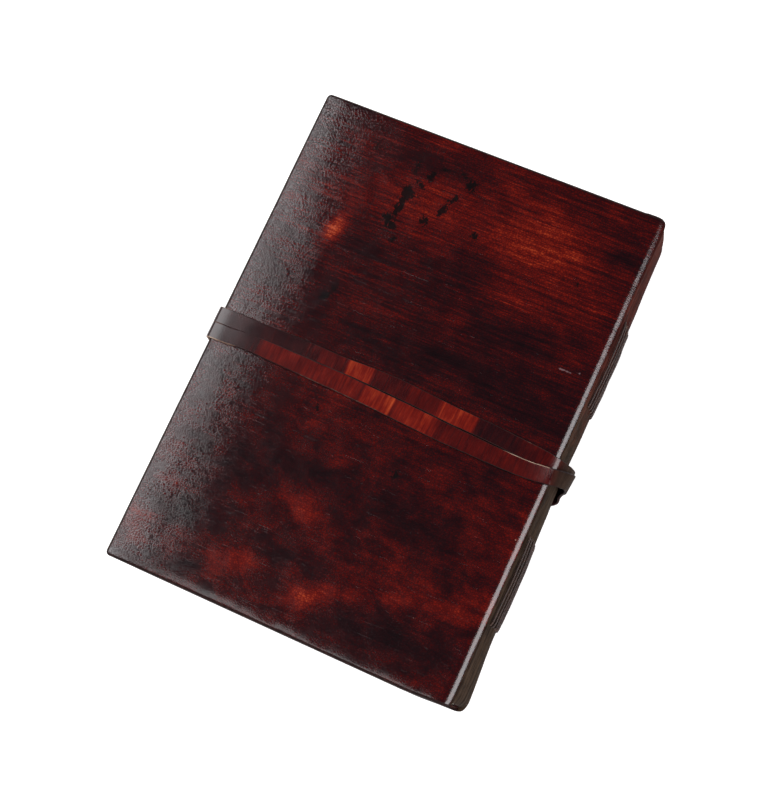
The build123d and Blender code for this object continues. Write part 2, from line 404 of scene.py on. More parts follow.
def skin_lines():
    """Grid lines along the wrap for the front cover, spine and back cover, and along Y."""
    roll = COVER_EDGE / 2
    flat_lines = edge_lines(WIDTH - STRIP - POCKET_RIM - 0.6, roll)
    edge = WIDTH - STRIP - POCKET_RIM
    flat_lines += [edge - 0.02, edge + 0.02]
    flat_lines += list(np.linspace(WIDTH - STRIP - 1, FLAT_RUN - 0.5, 9))
    ridge = [FLAT_RUN]
    for low, high, parts in zip(RIDGE_STAGES, RIDGE_STAGES[1:], (3, 5, 6)):
        ridge += list(FLAT_RUN + np.linspace(low, high, parts + 1)[1:])
    face = list(np.linspace(FACE_START + 0.4, FACE_START + FACE_OVERLAP, 5))
    front = flat_lines + ridge + face
    back = [WRAP_END - s for s in reversed(front)]
    spine = list(np.linspace(front[-1], back[0], 25))
    end_lines = edge_lines(HALF, roll)
    y_lines = [d - HALF for d in end_lines] + [HALF - d for d in reversed(end_lines[:-1])]
    return front, spine, back, y_lines


def build_skins():
    front, spine, back, y_lines = skin_lines()
    front_skin = skin_piece("front_cover_skin", front, y_lines)
    spine_skin = skin_piece("spine_skin", spine, y_lines)
    back_skin = skin_piece("back_cover_skin", back, y_lines)
    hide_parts("front_cover_leather")
    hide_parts("spine_leather")
    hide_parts("back_cover_leather")
    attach(spine_skin, "spine")
    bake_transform(front_skin)
    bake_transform(back_skin)
    for piece in (front_skin, spine_skin, back_skin):
        names = ("cover", "spine", "rolled_edge_shade")
        for index in range(len(piece.data.materials)):
            piece.data.materials[index] = MATERIALS[names[index]]


# ---- paper

LEAF = 0.26
CREEP = 0.36                # how much further each inner sheet reaches than the one round it
DECKLE = 0.35               # depth of the torn edge
DECKLE_SCALE = 0.22
PAGE_WAVE = 0.09


def folded_sheet(number, sheet):
    """Two leaves and the fold between them, with torn edges that thin out."""
    node = f"signature_{number}_sheet_{sheet}"
    low, high = node_box(node)
    centre, radius = (low[2] + high[2]) / 2, (high[2] - low[2]) / 2
    fold_x = high[0]
    bend_x = fold_x - radius
    middle = radius - LEAF / 2
    seed = 10.0 * number + sheet
    reach = CREEP * (sheet - (SHEETS + 1) / 2)

    # rows run from the lower leaf's edge round the fold to the upper leaf's edge
    share = np.concatenate([[0, 0.004], np.linspace(0.02, 1, 18)])
    turn = np.radians(np.linspace(-90, 90, 9))[1:-1]
    leaf_row = np.ones(len(share))
    side = np.concatenate([-leaf_row, np.zeros(len(turn)), leaf_row])
    nx = np.concatenate([0 * leaf_row, np.cos(turn), 0 * leaf_row])
    nz = np.concatenate([-leaf_row, np.sin(turn), leaf_row])
    y_share = np.linspace(-1, 1, 61)
    y_share = np.concatenate([[-1], [-0.997], y_share[1:-1], [0.997], [1]])
    edges = [
        noise_grid(y_share * 86, seed, leaf * 7.0, scale=DECKLE_SCALE, octaves=4) for leaf in (-1, 1)
    ]
    lower, upper = low[0] - reach + DECKLE * np.stack(edges)
    x = np.concatenate([
        lower + (bend_x - lower) * share[:, None],
        np.repeat((bend_x + middle * np.cos(turn))[:, None], len(y_share), 1),
        upper + (bend_x - upper) * share[::-1, None],
    ])
    z = np.repeat((middle * nz)[:, None], len(y_share), 1)

    tail, head = (
        noise_grid(x[:, 0], seed, end, scale=DECKLE_SCALE, octaves=4)[:, None] for end in (40.0, 80.0)
    )
    half = high[1] + DECKLE * np.where(y_share[None, :] < 0, tail, head)
    y = y_share[None, :] * half
    flutter = smoothstep(-x, -X_SPINE + 10, -X_FORE)
    wave = PAGE_WAVE * flutter * noise_grid(x, y, scale=0.03, octaves=2)
    thin_y = 1 - 0.6 * smoothstep(np.abs(y_share), 0.995, 1)
    from_edge = np.concatenate([share, np.ones(len(turn)), share[::-1]])
    thin_x = 0.4 + 0.6 * smoothstep(from_edge, 0, 0.01)
    thick = LEAF / 2 * thin_y[None, :] * thin_x[:, None]
    points, flat = [], []
    for sign in (1, -1):
        px = x + nx[:, None] * thick * sign
        pz = centre + z + nz[:, None] * thick * sign + wave
        points.append(np.stack([px, y, pz], -1).reshape(-1, 3))
        across = x * np.where(side == 0, 1, side)[:, None] + 300 * seed
        flat.append(np.stack([across, y, z], -1).reshape(-1, 3))
    name = f"paper_{number}_{sheet}"
    piece = make_piece(name, np.concatenate(points), shell_faces(*x.shape), np.concatenate(flat))
    piece.data.materials.append(MATERIALS["paper"])
    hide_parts(node)
    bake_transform(piece)


# ---- thread

STRAND = 0.17
TWIST = 0.19                # strands' distance from the thread's centre
TWIST_PITCH = 1.7
THREAD_STEP = 0.26
STRAND_SIDES = 6
THREAD_SLACK = 0.45
THREAD_RADIUS = STRAND + TWIST


def resample(points, spacing):
    """The same polyline with points an even spacing apart."""
    points = np.asarray(points, float)
    run = np.concatenate([[0], np.cumsum(np.linalg.norm(np.diff(points, axis=0), axis=1))])
    count = max(2, round(run[-1] / spacing) + 1)
    at = np.linspace(0, run[-1], count)
    return np.stack([np.interp(at, run, points[:, k]) for k in range(points.shape[1])], -1), at


def catmull_rom(points, steps=10):
    """A smooth line through every row of points; extra columns are smoothed along with it."""
    p = np.asarray(points, float)
    p = np.vstack([2 * p[0] - p[1], p, 2 * p[-1] - p[-2]])
    line = []
    for k in range(1, len(p) - 2):
        for t in np.linspace(0, 1, steps, endpoint=False):
            a = 2 * p[k]
            b = p[k + 1] - p[k - 1]
            c = 2 * p[k - 1] - 5 * p[k] + 4 * p[k + 1] - p[k + 2]
            d = -p[k - 1] + 3 * p[k] - 3 * p[k + 1] + p[k + 2]
            line.append((a + b * t + c * t**2 + d * t**3) / 2)
    return np.vstack([line, p[-2]])


def line_axes(line):
    """Unit tangents, and two directions square to them, for a line of points."""
    tangent = np.gradient(line, axis=0)
    tangent /= np.linalg.norm(tangent, axis=1)[:, None]
    side = np.zeros_like(line)
    previous = np.cross(tangent[0], (0.3, 0.2, 0.9))
    for k, t in enumerate(tangent):
        previous = previous - t * (previous @ t)
        previous = previous / np.linalg.norm(previous)
        side[k] = previous
    return tangent, side, np.cross(tangent, side)


def twisted_thread(line, seed):
    """Three waxed strands laid round each other along the line."""
    line, run = resample(line, THREAD_STEP)
    _, side, up = line_axes(line)
    sides = STRAND_SIDES
    points, flat, faces = [], [], []
    for strand in range(3):
        angle = 2 * math.pi * (run / TWIST_PITCH + strand / 3) + seed
        taper = np.minimum(1, 0.25 + 3 * np.minimum(run, run[-1] - run))
        offset = TWIST * (side * np.cos(angle)[:, None] + up * np.sin(angle)[:, None])
        core = line + offset
        _, a, b = line_axes(core)
        start = len(points)
        for k, centre in enumerate(core):
            for j in range(sides):
                turn = 2 * math.pi * j / sides
                radius = STRAND * taper[k]
                points.append(centre + radius * (a[k] * math.cos(turn) + b[k] * math.sin(turn)))
                flat.append((run[k] + 50 * seed, strand + j / sides, 0))
        for k in range(len(core) - 1):
            for j in range(sides):
                here, there = start + k * sides, start + (k + 1) * sides
                nxt = (j + 1) % sides
                faces.append([here + j, here + nxt, there + nxt, there + j])
        faces.append([start + j for j in reversed(range(sides))])
        last = start + (len(core) - 1) * sides
        faces.append([last + j for j in range(sides)])
    return points, faces, flat


def thread_piece(name, line, node, seed):
    points, faces, flat = twisted_thread(line, seed)
    piece = make_piece(name, points, faces, flat, sharp=80)
    piece.data.materials.append(MATERIALS["thread"])
    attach(piece, "spine")
    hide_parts(node)


def spine_thread(number, part):
    """A stitch along the outside of the spine, its ends going in through the leather."""
    node = f"spine_stitch_{number}_{part}"
    low, high = node_box(node)
    z = (low[2] + high[2]) / 2
    ends = np.array([low[1], high[1]]) + np.array([0.3, -0.3])
    s = FACE_START + (Z_FRONT - RIDGE_DROP - z)
    seed = number * 2.3 + (0.0 if part == "head" else 1.1)
    y = np.linspace(ends[0], ends[1], 14)
    bow = np.sin(math.pi * np.linspace(0, 1, 14)) ** 0.6
    rest = X_SPINE + RIDGE_OUT + spine_bulge(s, y) + spine_lean(s, y)
    rest = rest + skin_relief(np.full(14, s), y) + THREAD_RADIUS
    slack = THREAD_SLACK + 0.2 * noise.noise(Vector((seed, 3, 0)))
    x = rest + slack * bow
    sag = 0.35 * noise_grid(y, seed, scale=0.09, octaves=2) * bow
    inside = X_SPINE - SKIN - 0.4
    line = [(inside, ends[0], z)]
    line += [(X_SPINE + RIDGE_OUT - 0.1, ends[0], z)]
    line += list(zip(x, y, z + sag))
    line += [(X_SPINE + RIDGE_OUT - 0.1, ends[1], z), (inside, ends[1], z)]
    thread_piece(f"spine_thread_{number}_{part}", catmull_rom(line, 5), node, seed)


def fold_thread(number):
    """A stitch along the inside of a signature's innermost fold."""
    node = f"fold_stitch_{number}"
    low, high = node_box(node)
    z = (low[2] + high[2]) / 2
    x = low[0] + THREAD_RADIUS
    y0, y1 = low[1] + 0.3, high[1] - 0.3
    y = np.linspace(y0 + 1, y1 - 1, 8)
    line = [(high[0], y0, z), (x + 1, y0, z)] + [(x, v, z) for v in y]
    line += [(x + 1, y1, z), (high[0], y1, z)]
    thread_piece(f"fold_thread_{number}", catmull_rom(line, 4), node, 7.0 + number)


# ---- wrap strap

STRAP_THICK = 1.0
STRAP_LIFT = 0.05           # gap between strap and what it lies on
RAW_EDGE = 0.22             # rounding of the cut edges
STRAP_STEP = 0.55           # spacing of its cross-sections
LOOP_START = 0.3            # past the spine corner, where it stands off and has turned brown
TOP = Z_FRONT + STRAP_LIFT + STRAP_THICK / 2 - 0.1
UNDER = 0.06 + STRAP_THICK / 2
FORE = X_FORE - STRAP_LIFT - STRAP_THICK / 2


def fore_turn(y_low, y_high):
    """From under the book up round the fore-edge onto the front cover: x, y, z, width, roll."""
    height = TOP - FORE_DROOP[0]
    return [
        (X_FORE + 9, y_low, UNDER, 6.0, 0),
        (X_FORE + 2.4, y_low, UNDER + 0.05, 6.0, 0),
        (X_FORE + 0.2, y_low, UNDER + 0.3, 6.0, 0),
        (FORE - 0.35, y_low, UNDER + 1.6, 6.0, 0),
        (FORE - 0.5, (y_low * 3 + y_high) / 4, UNDER + 6, 6.0, 0),
        (FORE - 0.3, (y_low + y_high) / 2, (UNDER + height) / 2, 6.0, 0),
        (FORE - 0.5, (y_low + y_high * 3) / 4, height - 6, 5.9, 0),
        (FORE - 0.55, y_high, height - 1.6, 5.8, 0),
        (FORE + 0.05, y_high, height - 0.25, 5.8, 0),
        (X_FORE + 1.6, y_high, height + 0.3, 5.8, 0),
        (X_FORE + 6.0, y_high, TOP - 0.36, 5.8, 0),
    ]


def spine_turn(over, behind, below):
    """The strap's way over the cover and round the spine. x counts from the spine corner, z from
    the cover's face, from mid height and from under the book."""
    route = []
    for height, rows in ((TOP, over), (Z_MIDDLE, behind), (UNDER, below)):
        route += [(X_SPINE + x, y, height + z, width, roll) for x, y, z, width, roll in rows]
    return route


def flat_run(*places):
    """The strap lying flat under the book."""
    return [(x, y, UNDER, 6.0, 0) for x, y in places]


def strap_route():
    """The strap's centre line from its start under the book to its end under it."""
    upper = spine_turn(
        over=[
            (-112, 1.0, -0.02, 5.6, 0), (-98, 1.1, 0, 5.5, 0), (-80, 0.95, 0, 5.5, 0),
            (-60, 0.8, 0, 6.4, 0), (-45, -0.1, 0, 6.2, 0), (-26, -1.0, 0, 6.1, 0),
            (-13, -1.8, 0, 6.0, 0), (-4.5, -2.4, -0.1, 5.9, 0), (-1.4, -2.8, -0.62, 5.9, 0),
            (0.7, -3.0, -1.7, 5.9, 0), (2.4, -3.1, -4.2, 5.9, 0), (4.2, -2.9, -9.0, 5.9, 0),
        ],
        behind=[(4.6, -2.8, -1, 5.9, 0)],
        below=[
            (3.4, -2.9, 7.5, 5.9, 0), (2.0, -3.0, 3.2, 5.9, 0), (0.7, -3.1, 0.9, 6.0, 0),
            (-1.6, -3.2, 0.1, 6.0, 0), (-6, -3.4, 0, 6.0, 0),
        ],
    )
    lower = spine_turn(
        over=[
            (-112, -4.3, -0.02, 6.0, 0), (-98, -4.6, 0, 6.2, 0), (-82, -4.95, 0, 6.5, 0),
            (-66, -5.6, 0, 6.6, 0), (-46, -6.7, 0, 6.9, 0), (-29, -7.5, 0, 6.5, 0),
            (-12, -7.8, 0.05, 6.0, 1), (-4, -7.4, 0.3, 5.7, 8), (0.4, -6.8, 0.3, 5.6, 14),
            (3.0, -6.2, -0.7, 5.7, 22), (5.0, -5.7, -2.8, 5.8, 22), (5.7, -5.2, -6.5, 5.9, 12),
        ],
        behind=[(5.0, -4.9, 0, 5.9, 4)],
        below=[
            (3.2, -4.6, 7.5, 5.9, 0), (2.0, -5.4, 3.4, 6.0, 0), (0.8, -7.2, 1.0, 6.0, 0),
            (-1.6, -9.0, 0.28, 6.0, 0), (-6, -9.8, 0, 6.0, 0),
        ],
    )
    route = flat_run((12, 4.4), (-15, 3.6), (-42, 2.6)) + fore_turn(1.8, 0.9) + upper
    route += flat_run((X_SPINE - 40, -4.6), (X_SPINE - 90, -5.4)) + fore_turn(-5.6, -4.9) + lower
    return route + flat_run((X_SPINE - 25, -10.8), (12.5, -12.2))


def strap_section(width):
    """Outline across the strap, as across and height: flat faces and slightly rounded cut edges."""
    half, high = width / 2, STRAP_THICK / 2
    arc = [math.radians(a) for a in (0, 30, 60, 90)]
    run = np.linspace(-half + RAW_EDGE, half - RAW_EDGE, 9)
    top = [(a, high * (1 - 0.10 * (a / half) ** 4)) for a in run]
    a, h = half - RAW_EDGE, high - RAW_EDGE
    right = [(a + RAW_EDGE * math.sin(t), h + RAW_EDGE * math.cos(t)) for t in arc[1:]]
    right += [(a, -h) for a, h in reversed(right)]
    bottom = [(a, -high) for a in reversed(run)]
    left = [(-a, -h) for a, h in right]
    outline = top + right + bottom + left
    raw = [False] * (len(top) - 1) + [True] * (len(right) + 1)
    raw += [False] * (len(bottom) - 1) + [True] * (len(left) + 1)
    return np.array(outline), raw


def build_strap():
    line, run = resample(catmull_rom(strap_route(), 12), STRAP_STEP)
    centre, width, roll = line[:, :3], line[:, 3], np.radians(line[:, 4])
    tangent = np.gradient(centre, axis=0)
    tangent /= np.linalg.norm(tangent, axis=1)[:, None]
    across = np.array([0, 1.0, 0]) - tangent * tangent[:, 1][:, None]
    across /= np.linalg.norm(across, axis=1)[:, None]
    outward = np.cross(tangent, across)
    tilted = across * np.cos(roll)[:, None] + outward * np.sin(roll)[:, None]
    outward = np.cross(tangent, tilted)
    wobble = 1 + 0.02 * noise_grid(run, 0.0, scale=0.15)
    edge_wander = 0.12 * noise_grid(run, 5.0, scale=0.08)
    _, raw = strap_section(6.0)
    sides = len(raw)
    points, flat, red, bare, faces, slots = [], [], [], [], [], []
    for k in range(len(centre)):
        outline, _ = strap_section(width[k] * wobble[k])
        for a, h in outline:
            points.append(centre[k] + tilted[k] * (a + edge_wander[k]) + outward[k] * h)
            flat.append((run[k], a, h))
        on_top = centre[k][2] > Z_MIDDLE
        upper_turn = centre[k][1] > -3.2 - 0.03 * (centre[k][0] - X_FORE)
        x = centre[k][0] - X_SPINE
        red += [strap_warmth(x, upper_turn, on_top)] * sides
        head_edge, tail_edge = strap_bareness(x, upper_turn, on_top)
        bare += [head_edge if a > 0 else tail_edge for a, _ in outline]
    for k in range(len(centre) - 1):
        for j in range(sides):
            nxt = (j + 1) % sides
            here, there = k * sides, (k + 1) * sides
            faces.append([here + j, here + nxt, there + nxt, there + j])
            at_spine = centre[k][0] > X_SPINE + LOOP_START
            slots.append(1 if raw[j] else 2 if at_spine else 0)
    last = (len(centre) - 1) * sides
    faces.append(list(reversed(range(sides))))
    faces.append([last + j for j in range(sides)])
    slots += [1, 1]
    floats = {"warm": red, "bare": bare}
    piece = make_piece("wrap_strap_leather", points, faces, flat, floats, 60, slots)
    for index, material in enumerate(("strap", "raw_edge", "strap_loop")):
        piece.data.materials[index] = MATERIALS[material]
    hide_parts("wrap_strap")
    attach(piece, "strap")
    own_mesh(piece)


# Along each turn, from the spine corner: how red the dye is, and how pale the two cut edges are,
# as strength, start, end and softness of each stretch
UPPER_RED = [
    (0.45, -90, -78, 4), (1.0, -78, -68.5, 0.6), (0.30, -68.5, -55, 0.6),
    (0.5, -55, -43, 0.6), (0.9, -43, -29.5, 0.6), (0.3, -13, 2, 3),
]
LOWER_RED = [(0.66, -109, -69.6, 1.5), (0.95, -69.2, -58, 0.3), (0.85, -58, -44, 4), (0.45, -46, 3, 2)]
BARE_CORNER = (0.5, -130, -124, 1)
UPPER_HEAD_BARE = [BARE_CORNER, (0.3, -20, 0, 4)]
UPPER_TAIL_BARE = [BARE_CORNER]
LOWER_HEAD_BARE = [BARE_CORNER, (1.0, -17, 9, 3)]
LOWER_TAIL_BARE = [BARE_CORNER, (0.8, -128, -117, 3), (0.4, -95, -60, 8)]


def bands(x, stretches):
    total = 0.0
    for strength, low, high, soft in stretches:
        inside = smoothstep(x, low - soft, low + soft) * (1 - smoothstep(x, high - soft, high + soft))
        total += strength * inside
    return float(total)


def strap_warmth(x, upper_turn, on_top):
    if not on_top:
        return 0.0
    return bands(x, UPPER_RED if upper_turn else LOWER_RED)


def strap_bareness(x, upper_turn, on_top):
    """For the cut edge on the head side and the one on the tail side."""
    if not on_top:
        return 0.25, 0.25
    if upper_turn:
        return bands(x, UPPER_HEAD_BARE), bands(x, UPPER_TAIL_BARE)
    return bands(x, LOWER_HEAD_BARE), bands(x, LOWER_TAIL_BARE)


# ---- materials


class Nodes:
    """A material's node tree, with a short method for each kind of node used here."""

    def __init__(self, name):
        self.material = bpy.data.materials.new(name)
        self.material.use_nodes = True
        self.tree = self.material.node_tree
        self.tree.nodes.clear()

    def add(self, kind, inputs=None, **settings):
        node = self.tree.nodes.new(kind)
        for key, value in settings.items():
            setattr(node, key, value)
        for key, value in (inputs or {}).items():
            self.feed(node.inputs[key], value)
        return node

    def feed(self, socket, value):
        if isinstance(value, bpy.types.NodeSocket):
            self.tree.links.new(value, socket)
        else:
            socket.default_value = value

    def attribute(self, name, output="Fac"):
        return self.add("ShaderNodeAttribute", attribute_name=name).outputs[output]

    def stretch(self, vector, scale, place=(0, 0, 0)):
        inputs = {"Vector": vector, "Scale": scale, "Location": place}
        return self.add("ShaderNodeMapping", inputs).outputs[0]

    def noise(self, vector, scale, detail=3.0, rough=0.5, twist=0.0):
        inputs = {"Vector": vector, "Scale": scale, "Detail": detail}
        inputs.update({"Roughness": rough, "Distortion": twist})
        return self.add("ShaderNodeTexNoise", inputs).outputs[0]

    def cells(self, vector, scale, feature="F1"):
        inputs = {"Vector": vector, "Scale": scale}
        return self.add("ShaderNodeTexVoronoi", inputs, feature=feature).outputs["Distance"]

    def math(self, operation, a, b=0.0, clamp=False):
        node = self.add("ShaderNodeMath", operation=operation, use_clamp=clamp)
        self.feed(node.inputs[0], a)
        self.feed(node.inputs[1], b)
        return node.outputs[0]

    def total(self, *weighted):
        """Sum of (socket, weight) pairs."""
        value = 0.0
        for socket, weight in weighted:
            node = self.add("ShaderNodeMath", operation="MULTIPLY_ADD")
            self.feed(node.inputs[0], socket)
            self.feed(node.inputs[1], weight)
            self.feed(node.inputs[2], value)
            value = node.outputs[0]
        return value

    def remap(self, value, low, high, to_low=0.0, to_high=1.0):
        inputs = {"Value": value, "From Min": low, "From Max": high}
        inputs.update({"To Min": to_low, "To Max": to_high})
        return self.add("ShaderNodeMapRange", inputs, interpolation_type="SMOOTHSTEP").outputs[0]

    def spread(self, value, low, high):
        """A noise's usual range laid over another."""
        return self.remap(value, 0.3, 0.7, low, high)

    def tint(self, colour, other, share, strength):
        """The colour turned toward another, flat one, as far as share times strength."""
        node = self.add("ShaderNodeMix", data_type="RGBA")
        self.feed(node.inputs[0], self.math("MULTIPLY", share, strength))
        self.feed(node.inputs[6], colour)
        self.feed(node.inputs[7], (*other, 1))
        return node.outputs[2]

    def mix(self, share, a, b):
        node = self.add("ShaderNodeMix", data_type="RGBA")
        for socket, value in ((0, share), (6, a), (7, b)):
            self.feed(node.inputs[socket], value)
        return node.outputs[2]

    def ramp(self, value, stops):
        node = self.add("ShaderNodeValToRGB", {"Fac": value})
        elements = node.color_ramp.elements
        while len(elements) < len(stops):
            elements.new(0.5)
        for element, (place, colour) in zip(elements, stops):
            element.position = place
            element.color = (*colour, 1)
        return node.outputs[0]

    def bump(self, height, depth_mm):
        inputs = {"Height": height, "Distance": depth_mm * MM, "Strength": 1.0}
        return self.add("ShaderNodeBump", inputs).outputs[0]

    def finish(self, **inputs):
        """The surface shader; underscores in names stand for spaces."""
        shader = self.add("ShaderNodeBsdfPrincipled")
        for key, value in inputs.items():
            self.feed(shader.inputs[key.replace("_", " ")], value)
        output = self.add("ShaderNodeOutputMaterial")
        self.tree.links.new(shader.outputs[0], output.inputs["Surface"])
        return self.material


def flat_nodes(name):
    """A material's nodes, and the place on the unrolled material."""
    n = Nodes(name)
    return n, n.attribute("flat", "Vector")


def part_of(n, place, axis):
    return n.add("ShaderNodeSeparateXYZ", {"Vector": place}).outputs[axis]


LEATHER_TONES = [
    (0.00, (0.0040, 0.0018, 0.0026)),
    (0.26, (0.0110, 0.0021, 0.0032)),
    (0.42, (0.0270, 0.0024, 0.0030)),
    (0.58, (0.0600, 0.0032, 0.0028)),
    (0.74, (0.1250, 0.0068, 0.0036)),
    (0.88, (0.2300, 0.0240, 0.0075)),
    (1.00, (0.3600, 0.0560, 0.0160)),
]
STAIN_COLOUR = (0.0026, 0.0022, 0.0026)


def grain_domes(n, flat):
    """Pebbled grain: small domes between fine creases, 1 on a dome and 0 in a crease."""
    warp = n.noise(flat, 0.9, 2, 0.5)
    parts = {0: warp, 1: (0.5, 0.5, 0.0), 2: flat}
    place = n.add("ShaderNodeVectorMath", parts, operation="MULTIPLY_ADD").outputs[0]
    cells = n.cells(n.stretch(place, (1.0, 1.3, 1.0)), 1.1, "DISTANCE_TO_EDGE")
    return n.remap(cells, 0.0, 0.26)


def stretched_grain(n, flat):
    """How deep the grain is: deepest where the leather is pulled over the fore-edge."""
    return n.remap(part_of(n, flat, "X"), -74, -30, 1.35, 0.20)


def cover_material():
    """Dye brushed along X toward the head and dabbed toward the tail, under a soft polish, with
    painted shade in the grain's creases.
    """
    n, flat = flat_nodes("cover_leather_dyed")
    warm = n.attribute("warm")
    stain = n.attribute("stain")
    scuff = n.attribute("scuff")
    edge = n.attribute("edge")
    height_y = part_of(n, flat, "Y")
    brushed = n.remap(height_y, -45, 40, 0.35, 1.0)
    dabbed = n.remap(height_y, -45, 40, 1.0, 0.45)
    broad = n.noise(n.stretch(flat, (0.6, 1.0, 1.0), (11, 5, 0)), 0.05, 3, 0.5, 0.4)
    long_streak = n.noise(n.stretch(flat, (0.028, 0.80, 0.3), (3, 1, 0)), 1.0, 7, 0.66, 0.2)
    fine_streak = n.noise(n.stretch(flat, (0.13, 2.3, 1.0), (8, 2, 0)), 1.0, 5, 0.65, 0.2)
    mottle = n.noise(n.stretch(flat, (0.8, 1.15, 1.0), (31, 7, 0)), 0.14, 6, 0.56, 0.5)
    speckle = n.noise(flat, 1.3, 4, 0.7)
    domes = grain_domes(n, flat)

    streaks = n.total((long_streak, 0.95), (fine_streak, 0.65))
    streaks = n.math("MULTIPLY", n.math("SUBTRACT", streaks, 0.80), brushed)
    blotches = n.math("MULTIPLY", n.math("SUBTRACT", mottle, 0.5), dabbed)
    # The grain's domes lighten the tone a little, so its creases are darker: painted shade in the
    # creases.
    tone = n.total(
        (streaks, 1.0), (blotches, 0.80), (broad, 0.5), (speckle, 0.20), (warm, 0.62), (domes, 0.18)
    )
    tone = n.math("SUBTRACT", tone, 0.05)
    colour = n.ramp(tone, LEATHER_TONES)

    ragged = n.noise(n.stretch(flat, (1.0, 0.8, 1.0), (40, 0, 0)), 0.62, 6, 0.66, 1.2)
    blot = n.remap(n.total((stain, 0.50), (ragged, 1.3)), 0.86, 0.93)
    blot = n.math("MULTIPLY", blot, n.remap(stain, 0.06, 0.25))
    colour = n.tint(colour, STAIN_COLOUR, blot, 0.93)
    scraped = n.remap(n.total((scuff, 0.55), (ragged, 0.6)), 0.62, 0.72)
    colour = n.tint(colour, (0.15, 0.095, 0.10), scraped, 0.75)
    fleck = n.remap(n.cells(flat, 0.07), 0.012, 0.020, 1.0, 0.0)
    colour = n.tint(colour, (0.30, 0.17, 0.13), fleck, 0.7)
    worn = n.remap(n.total((edge, 0.7), (speckle, 0.6)), 0.82, 1.1)
    colour = n.tint(colour, (0.07, 0.022, 0.018), worn, 0.25)

    scratch_at = n.stretch(flat, (0.05, 0.7, 0.2), (70, 0, 0))
    scratches = n.remap(n.noise(scratch_at, 1.3, 2, 0.5, 2.0), 0.70, 0.72)
    wrinkles = n.noise(n.stretch(flat, (0.5, 0.8, 1)), 0.5, 2, 0.5, 1.4)
    height = n.math("MULTIPLY", domes, stretched_grain(n, flat))
    height = n.total((height, 1.0), (wrinkles, 0.3), (scratches, -0.12))
    normal = n.bump(height, 0.050)
    rough = n.total((domes, -0.03), (mottle, 0.05))
    rough = n.math("ADD", rough, 0.155, True)
    return n.finish(Base_Color=colour, Roughness=rough, Normal=normal, Specular_IOR_Level=0.5)


def rolled_edge_shade_material():
    """The turned-over edge: rubbed dull, its dark colour painted shade where the roll turns away from
    the light.
    """
    n, flat = flat_nodes("cover_rolled_edge_painted_shade")
    wear = n.noise(flat, 0.8, 5, 0.65)
    colour = n.ramp(wear, [
        (0.3, (0.006, 0.003, 0.003)), (0.55, (0.017, 0.006, 0.0055)), (0.75, (0.05, 0.02, 0.016)),
    ])
    normal = n.bump(grain_domes(n, flat), 0.03)
    rough = n.spread(wear, 0.5, 0.7)
    return n.finish(Base_Color=colour, Roughness=rough, Normal=normal, Specular_IOR_Level=0.12)


def spine_material():
    """The same leather where it is handled most: dull, olive-brown, streaked along the spine."""
    n, flat = flat_nodes("spine_leather_worn")
    height_y = part_of(n, flat, "Y")
    lengthwise = n.noise(n.stretch(flat, (0.9, 0.03, 0.3), (5, 1, 0)), 1.0, 5, 0.6, 0.2)
    mottle = n.noise(flat, 0.18, 5, 0.6, 0.4)
    tone = n.total((lengthwise, 0.75), (mottle, 0.45))
    olive = n.ramp(tone, [
        (0.30, (0.0030, 0.0016, 0.0012)), (0.52, (0.0125, 0.0078, 0.0048)),
        (0.72, (0.042, 0.029, 0.019)),
    ])
    red = n.ramp(tone, [
        (0.30, (0.0050, 0.0016, 0.0016)), (0.52, (0.022, 0.0052, 0.0042)),
        (0.72, (0.070, 0.018, 0.013)),
    ])
    reddish = n.remap(n.total((height_y, 1.0), (mottle, 40.0)), 20, 62, 0.1, 1.0)
    colour = n.mix(reddish, olive, red)
    domes = grain_domes(n, flat)
    normal = n.bump(n.total((domes, 0.5), (lengthwise, 0.9)), 0.06)
    rough = n.spread(mottle, 0.62, 0.8)
    return n.finish(Base_Color=colour, Roughness=rough, Normal=normal, Specular_IOR_Level=0.01)


def strap_material():
    """Dyed like the cover, streaked across its length."""
    n, flat = flat_nodes("strap_leather_dyed")
    warm = n.attribute("warm")
    cross = n.noise(n.stretch(flat, (1.0, 0.07, 0.3)), 1.0, 5, 0.66, 0.2)
    fine = n.noise(n.stretch(flat, (3.2, 0.3, 0.5)), 1.0, 3, 0.6)
    mottle = n.noise(flat, 0.16, 4, 0.55, 0.4)
    tone = n.total((cross, 0.55), (fine, 0.26), (mottle, 0.36), (warm, 0.44))
    tone = n.math("SUBTRACT", tone, 0.26)
    colour = n.ramp(tone, LEATHER_TONES)
    domes = grain_domes(n, flat)
    height = n.math("MULTIPLY", domes, stretched_grain(n, flat))
    height = n.total((height, 1.0), (cross, 0.12))
    normal = n.bump(height, 0.045)
    rough = n.total((domes, -0.03), (mottle, 0.08))
    rough = n.math("ADD", rough, 0.175, True)
    return n.finish(Base_Color=colour, Roughness=rough, Normal=normal, Specular_IOR_Level=0.42)


def strap_loop_material():
    """The strap where it stands off the spine: bent often, browned and dull."""
    n, flat = flat_nodes("strap_leather_browned")
    warm = n.attribute("warm")
    cross = n.noise(n.stretch(flat, (1.0, 0.07, 0.3)), 1.0, 5, 0.66, 0.2)
    mottle = n.noise(flat, 0.3, 4, 0.6, 0.4)
    tone = n.total((cross, 0.6), (mottle, 0.4))
    brown = n.ramp(tone, [
        (0.3, (0.010, 0.0055, 0.0045)), (0.55, (0.030, 0.018, 0.013)), (0.8, (0.065, 0.042, 0.030)),
    ])
    red = n.ramp(tone, [
        (0.3, (0.016, 0.0022, 0.0022)), (0.55, (0.050, 0.0050, 0.0042)), (0.8, (0.10, 0.014, 0.010)),
    ])
    colour = n.mix(n.remap(warm, 0.02, 0.42), brown, red)
    normal = n.bump(n.total((grain_domes(n, flat), 0.5), (cross, 0.6)), 0.04)
    rough = n.spread(mottle, 0.5, 0.7)
    return n.finish(Base_Color=colour, Roughness=rough, Normal=normal, Specular_IOR_Level=0.015)


